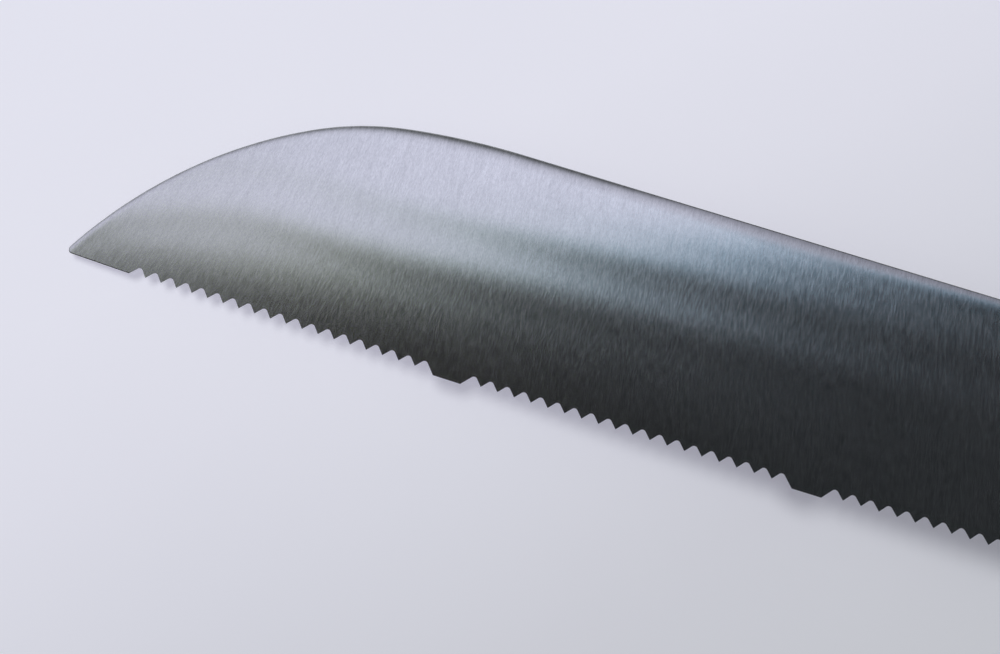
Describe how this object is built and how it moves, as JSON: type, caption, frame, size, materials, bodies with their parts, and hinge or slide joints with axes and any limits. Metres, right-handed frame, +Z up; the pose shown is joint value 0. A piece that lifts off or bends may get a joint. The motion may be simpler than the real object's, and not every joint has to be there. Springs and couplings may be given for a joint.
{
  "type": "bread knife",
  "caption": "Bread knife with a tall blade, fine teeth ground in groups along the whole edge, and a full-tang handle with riveted wooden scales, steel bolsters and a hanging hole.",
  "frame": {"origin": "middle of the bottom of the knife's box, with the knife lying flat on the right side of its handle", "axes": "+X along the blade from the tip to the butt of the handle, +Y from the cutting edge to the spine, +Z up, out of the left side of the blade"},
  "size_m": [0.336, 0.0346, 0.019],
  "materials": {
    "blade_steel": "fine satin, brushed across the blade",
    "bolster_steel": "satin",
    "rivet_steel": "sanded flush with the wood",
    "tube_brass": "sanded flush, worn bright inside",
    "liner_fibre": "vulcanised fibre, sanded edge",
    "handle_wood": "oiled, close grained dark hardwood"
  },
  "bodies": {
    "root": {"blade": "blade_steel", "bolster_left": "bolster_steel", "bolster_right": "bolster_steel", "bolster_pin_upper": "bolster_steel", "bolster_pin_lower": "bolster_steel", "liner_left": "liner_fibre", "liner_right": "liner_fibre", "scale_left": "handle_wood", "scale_right": "handle_wood", "rivet_front_female": "rivet_steel", "rivet_front_male": "rivet_steel", "rivet_middle_female": "rivet_steel", "rivet_middle_male": "rivet_steel", "rivet_rear_female": "rivet_steel", "rivet_rear_male": "rivet_steel", "hang_tube": "tube_brass"}
  },
  "joints": []
}
